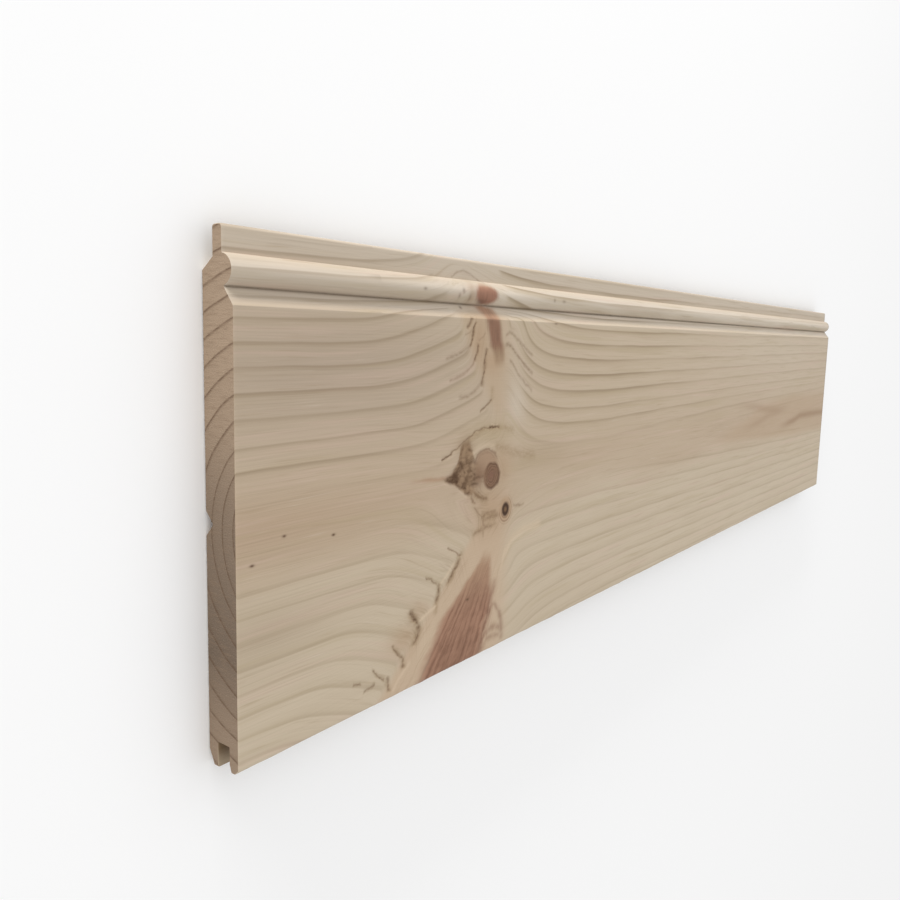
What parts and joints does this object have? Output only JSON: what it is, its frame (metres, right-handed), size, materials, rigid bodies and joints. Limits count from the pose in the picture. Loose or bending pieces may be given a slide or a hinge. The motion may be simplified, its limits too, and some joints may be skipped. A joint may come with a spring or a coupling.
{
  "type": "lining board",
  "caption": "Flat softwood lining board with a tongue on one long edge, a groove on the other, and a bead and V beside the tongue, for panelling walls and ceilings.",
  "frame": {"origin": "under the middle of the board's length and overall width, on the plane of its back face", "axes": "+X along the grain and the length, +Y across the board from the groove edge to the tongue edge, +Z out of the show face"},
  "size_m": [0.6, 0.1414, 0.012],
  "materials": {
    "pine": "planed and unfinished knotty pine"
  },
  "bodies": {
    "root": {"lining_board": "pine"}
  },
  "joints": []
}
